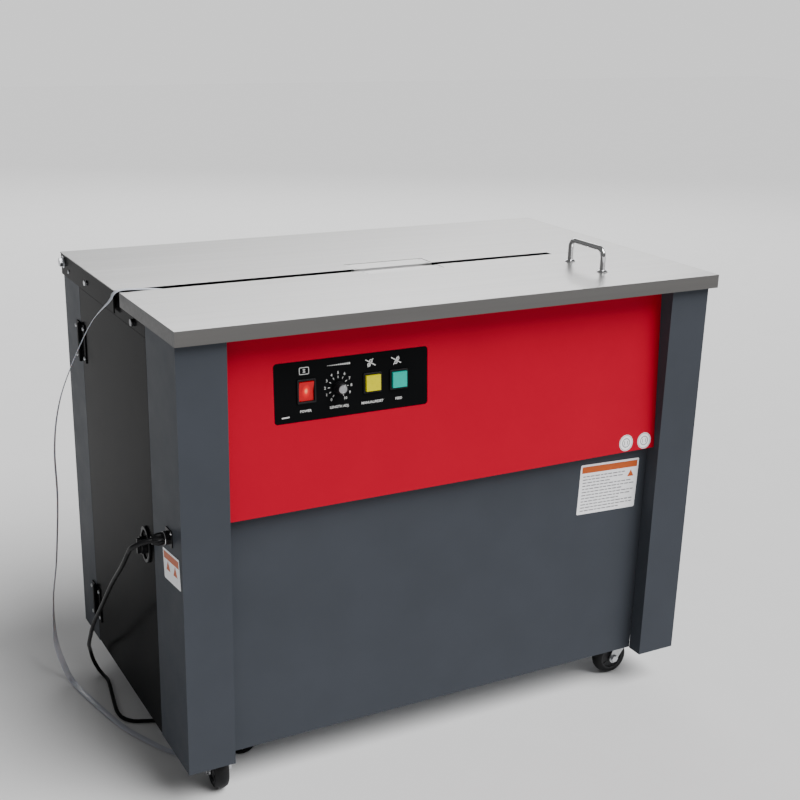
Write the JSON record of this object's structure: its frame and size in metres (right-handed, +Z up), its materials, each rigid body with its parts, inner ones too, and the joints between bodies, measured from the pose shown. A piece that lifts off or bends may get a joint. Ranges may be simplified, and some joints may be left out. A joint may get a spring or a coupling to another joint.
{
  "type": "semi automatic strapping machine",
  "caption": "Semi automatic strapping machine: steel cabinet on castors, stainless lift-up table with a strap slot, red control front, strapping head and strap reel inside.",
  "frame": {"origin": "on the floor under the middle of the table", "axes": "+X to the right seen from the operator at the front, +Y towards the back, +Z up"},
  "size_m": [0.992, 0.5525, 0.7622],
  "materials": {
    "brushed_stainless": "brushed along its length",
    "blue_grey_paint": "satin powder coat",
    "dark_grey_gloss_paint": "semi-gloss paint",
    "red_paint": "satin powder coat",
    "black_plastic": "satin",
    "chrome_plate": "polished",
    "zinc_plated_steel": "bright zinc plate",
    "machined_steel": "machined",
    "cast_aluminium": "as cast",
    "motor_paint": "satin paint",
    "black_tyre": "moulded",
    "belt_rubber": "matt",
    "red_lens": "translucent, lit from inside",
    "yellow_lens": "gloss",
    "green_lens": "gloss",
    "circuit_board": "solder resist",
    "white_strap": "embossed polypropylene strap",
    "reel_sheet": "satin plate"
  },
  "bodies": {
    "cabinet": {"base_pan": "zinc_plated_steel", "column_front_left": "blue_grey_paint", "column_front_right": "blue_grey_paint", "column_rear_left": "blue_grey_paint", "column_rear_right": "blue_grey_paint", "lower_front_panel": "blue_grey_paint", "red_front_panel": "red_paint", "control_plate": "black_plastic", "rear_panel": "blue_grey_paint", "right_side_panel": "blue_grey_paint", "head_support_frame": "zinc_plated_steel", "table_pivot_bolt_left": "zinc_plated_steel", "table_pivot_bolt_right": "zinc_plated_steel", "lower_hinge": "zinc_plated_steel", "upper_hinge": "zinc_plated_steel", "cable_gland": "zinc_plated_steel", "control_board": "circuit_board", "head_frame": "machined_steel", "head_cover_front": "brushed_stainless", "head_cover_rear": "brushed_stainless", "gearbox": "cast_aluminium", "motor": "motor_paint", "drive_belt": "belt_rubber", "transformer": "machined_steel", "reel_stand": "zinc_plated_steel", "power_cord": "black_plastic", "power_cord_coil": "black_plastic", "power_plug": "black_plastic", "strap_tail": "white_strap"},
    "table": {"table_top": "brushed_stainless", "table_pivot_plate_left": "dark_grey_gloss_paint", "table_pivot_plate_right": "dark_grey_gloss_paint", "table_handle": "chrome_plate"},
    "left_door": {"left_door": "dark_grey_gloss_paint"},
    "door_latch": {"door_latch": "chrome_plate"},
    "power_rocker": {"power_rocker": "red_lens"},
    "length_dial": {"length_dial": "black_plastic"},
    "reset_button": {"reset_button": "yellow_lens"},
    "feed_button": {"feed_button": "green_lens"},
    "camshaft": {"camshaft": "machined_steel"},
    "left_gripper": {"left_gripper": "machined_steel"},
    "press_head": {"press_head": "machined_steel"},
    "right_gripper": {"right_gripper": "machined_steel"},
    "slide_plate": {"slide_plate": "machined_steel"},
    "heater_arm": {"heater_arm": "machined_steel"},
    "feed_roller": {"feed_roller": "belt_rubber"},
    "pinch_roller": {"pinch_roller": "machined_steel"},
    "gearbox_pulley": {"gearbox_pulley": "machined_steel"},
    "motor_pulley": {"motor_pulley": "machined_steel"},
    "reel": {"reel_inner_flange": "reel_sheet", "reel_outer_flange": "reel_sheet", "strap_roll": "white_strap"},
    "castor_fork_front_left": {"castor_fork_front_left": "zinc_plated_steel"},
    "castor_wheel_front_left": {"castor_wheel_front_left": "black_tyre"},
    "castor_fork_front_right": {"castor_fork_front_right": "zinc_plated_steel"},
    "castor_wheel_front_right": {"castor_wheel_front_right": "black_tyre"},
    "castor_fork_rear_left": {"castor_fork_rear_left": "zinc_plated_steel"},
    "castor_wheel_rear_left": {"castor_wheel_rear_left": "black_tyre"},
    "castor_fork_rear_right": {"castor_fork_rear_right": "zinc_plated_steel"},
    "castor_wheel_rear_right": {"castor_wheel_rear_right": "black_tyre"}
  },
  "joints": [
    {"name": "table_lift", "type": "hinge", "parent": "cabinet", "child": "table", "pos_m": [0, 0.259, 0.708], "axis": [-1, 0, 0], "range_deg": [0, 60]},
    {"name": "left_door_swing", "type": "hinge", "parent": "cabinet", "child": "left_door", "pos_m": [-0.4475, 0.19, 0.372], "axis": [0, 0, -1], "range_deg": [0, 110], "deforming": ["power_cord", "strap_tail"]},
    {"name": "latch_turn", "type": "hinge", "parent": "left_door", "child": "door_latch", "pos_m": [-0.447, -0.106, 0.361], "axis": [-1, 0, 0], "range_deg": [0, 90]},
    {"name": "power_switch_rock", "type": "hinge", "parent": "cabinet", "child": "power_rocker", "pos_m": [-0.249, -0.23597, 0.60876], "axis": [-1, 0, 0], "range_deg": [0, 14]},
    {"name": "length_dial_turn", "type": "hinge", "parent": "cabinet", "child": "length_dial", "pos_m": [-0.2, -0.24595, 0.60935], "axis": [0, 0.9983, -0.0589], "range_deg": [0, 290]},
    {"name": "reset_button_push", "type": "slide", "parent": "cabinet", "child": "reset_button", "axis": [0, 0.9983, -0.0589], "range_m": [0, 0.003], "stiffness_N_per_m": 500},
    {"name": "feed_button_push", "type": "slide", "parent": "cabinet", "child": "feed_button", "axis": [0, 0.9983, -0.0589], "range_m": [0, 0.003], "stiffness_N_per_m": 500},
    {"name": "camshaft_turn", "type": "hinge", "parent": "cabinet", "child": "camshaft", "pos_m": [0, -0.03, 0.6], "axis": [1, 0, 0], "continuous": true},
    {"name": "left_gripper_lift", "type": "slide", "parent": "cabinet", "child": "left_gripper", "axis": [0, 0, 1], "range_m": [0, 0.0033]},
    {"name": "press_head_lift", "type": "slide", "parent": "cabinet", "child": "press_head", "axis": [0, 0, 1], "range_m": [0, 0.0033]},
    {"name": "right_gripper_lift", "type": "slide", "parent": "cabinet", "child": "right_gripper", "axis": [0, 0, 1], "range_m": [0, 0.0033]},
    {"name": "slide_plate_travel", "type": "slide", "parent": "cabinet", "child": "slide_plate", "axis": [0, 1, 0], "range_m": [0, 0.022]},
    {"name": "heater_arm_swing", "type": "hinge", "parent": "cabinet", "child": "heater_arm", "pos_m": [0.045, 0.05, 0.697], "axis": [0, 0, 1], "range_deg": [0, 30]},
    {"name": "feed_roller_turn", "type": "hinge", "parent": "cabinet", "child": "feed_roller", "pos_m": [0.108, -0.03, 0.655], "axis": [0, 1, 0], "continuous": true},
    {"name": "pinch_roller_turn", "type": "hinge", "parent": "cabinet", "child": "pinch_roller", "pos_m": [0.108, -0.03, 0.683], "axis": [0, 1, 0], "continuous": true},
    {"name": "gearbox_pulley_turn", "type": "hinge", "parent": "cabinet", "child": "gearbox_pulley", "pos_m": [0.2635, -0.015, 0.6], "axis": [1, 0, 0], "continuous": true},
    {"name": "motor_pulley_turn", "type": "hinge", "parent": "cabinet", "child": "motor_pulley", "pos_m": [0.2635, -0.015, 0.4], "axis": [1, 0, 0], "continuous": true},
    {"name": "reel_turn", "type": "hinge", "parent": "cabinet", "child": "reel", "pos_m": [-0.3105, 0.01, 0.275], "axis": [1, 0, 0], "continuous": true},
    {"name": "castor_swivel_front_left", "type": "hinge", "parent": "cabinet", "child": "castor_fork_front_left", "pos_m": [-0.383, -0.197, 0.0725], "axis": [0, 0, 1], "continuous": true},
    {"name": "castor_roll_front_left", "type": "hinge", "parent": "castor_fork_front_left", "child": "castor_wheel_front_left", "pos_m": [-0.38492, -0.21892, 0.0315], "axis": [0.9962, -0.0872, 0], "continuous": true},
    {"name": "castor_swivel_front_right", "type": "hinge", "parent": "cabinet", "child": "castor_fork_front_right", "pos_m": [0.377, -0.197, 0.0725], "axis": [0, 0, 1], "continuous": true},
    {"name": "castor_roll_front_right", "type": "hinge", "parent": "castor_fork_front_right", "child": "castor_wheel_front_right", "pos_m": [0.355, -0.197, 0.0315], "axis": [0, -1, 0], "continuous": true},
    {"name": "castor_swivel_rear_left", "type": "hinge", "parent": "cabinet", "child": "castor_fork_rear_left", "pos_m": [-0.381, 0.215, 0.0725], "axis": [0, 0, 1], "continuous": true},
    {"name": "castor_roll_rear_left", "type": "hinge", "parent": "castor_fork_rear_left", "child": "castor_wheel_rear_left", "pos_m": [-0.37205, 0.2351, 0.0315], "axis": [-0.9135, 0.4067, 0], "continuous": true},
    {"name": "castor_swivel_rear_right", "type": "hinge", "parent": "cabinet", "child": "castor_fork_rear_right", "pos_m": [0.377, 0.215, 0.0725], "axis": [0, 0, 1], "continuous": true},
    {"name": "castor_roll_rear_right", "type": "hinge", "parent": "castor_fork_rear_right", "child": "castor_wheel_rear_right", "pos_m": [0.36144, 0.23056, 0.0315], "axis": [-0.7071, -0.7071, 0], "continuous": true}
  ],
  "couplings": [
    {"joint": "feed_roller_turn", "follows": "pinch_roller_turn", "ratio": -0.8},
    {"joint": "motor_pulley_turn", "follows": "gearbox_pulley_turn", "ratio": 2}
  ]
}
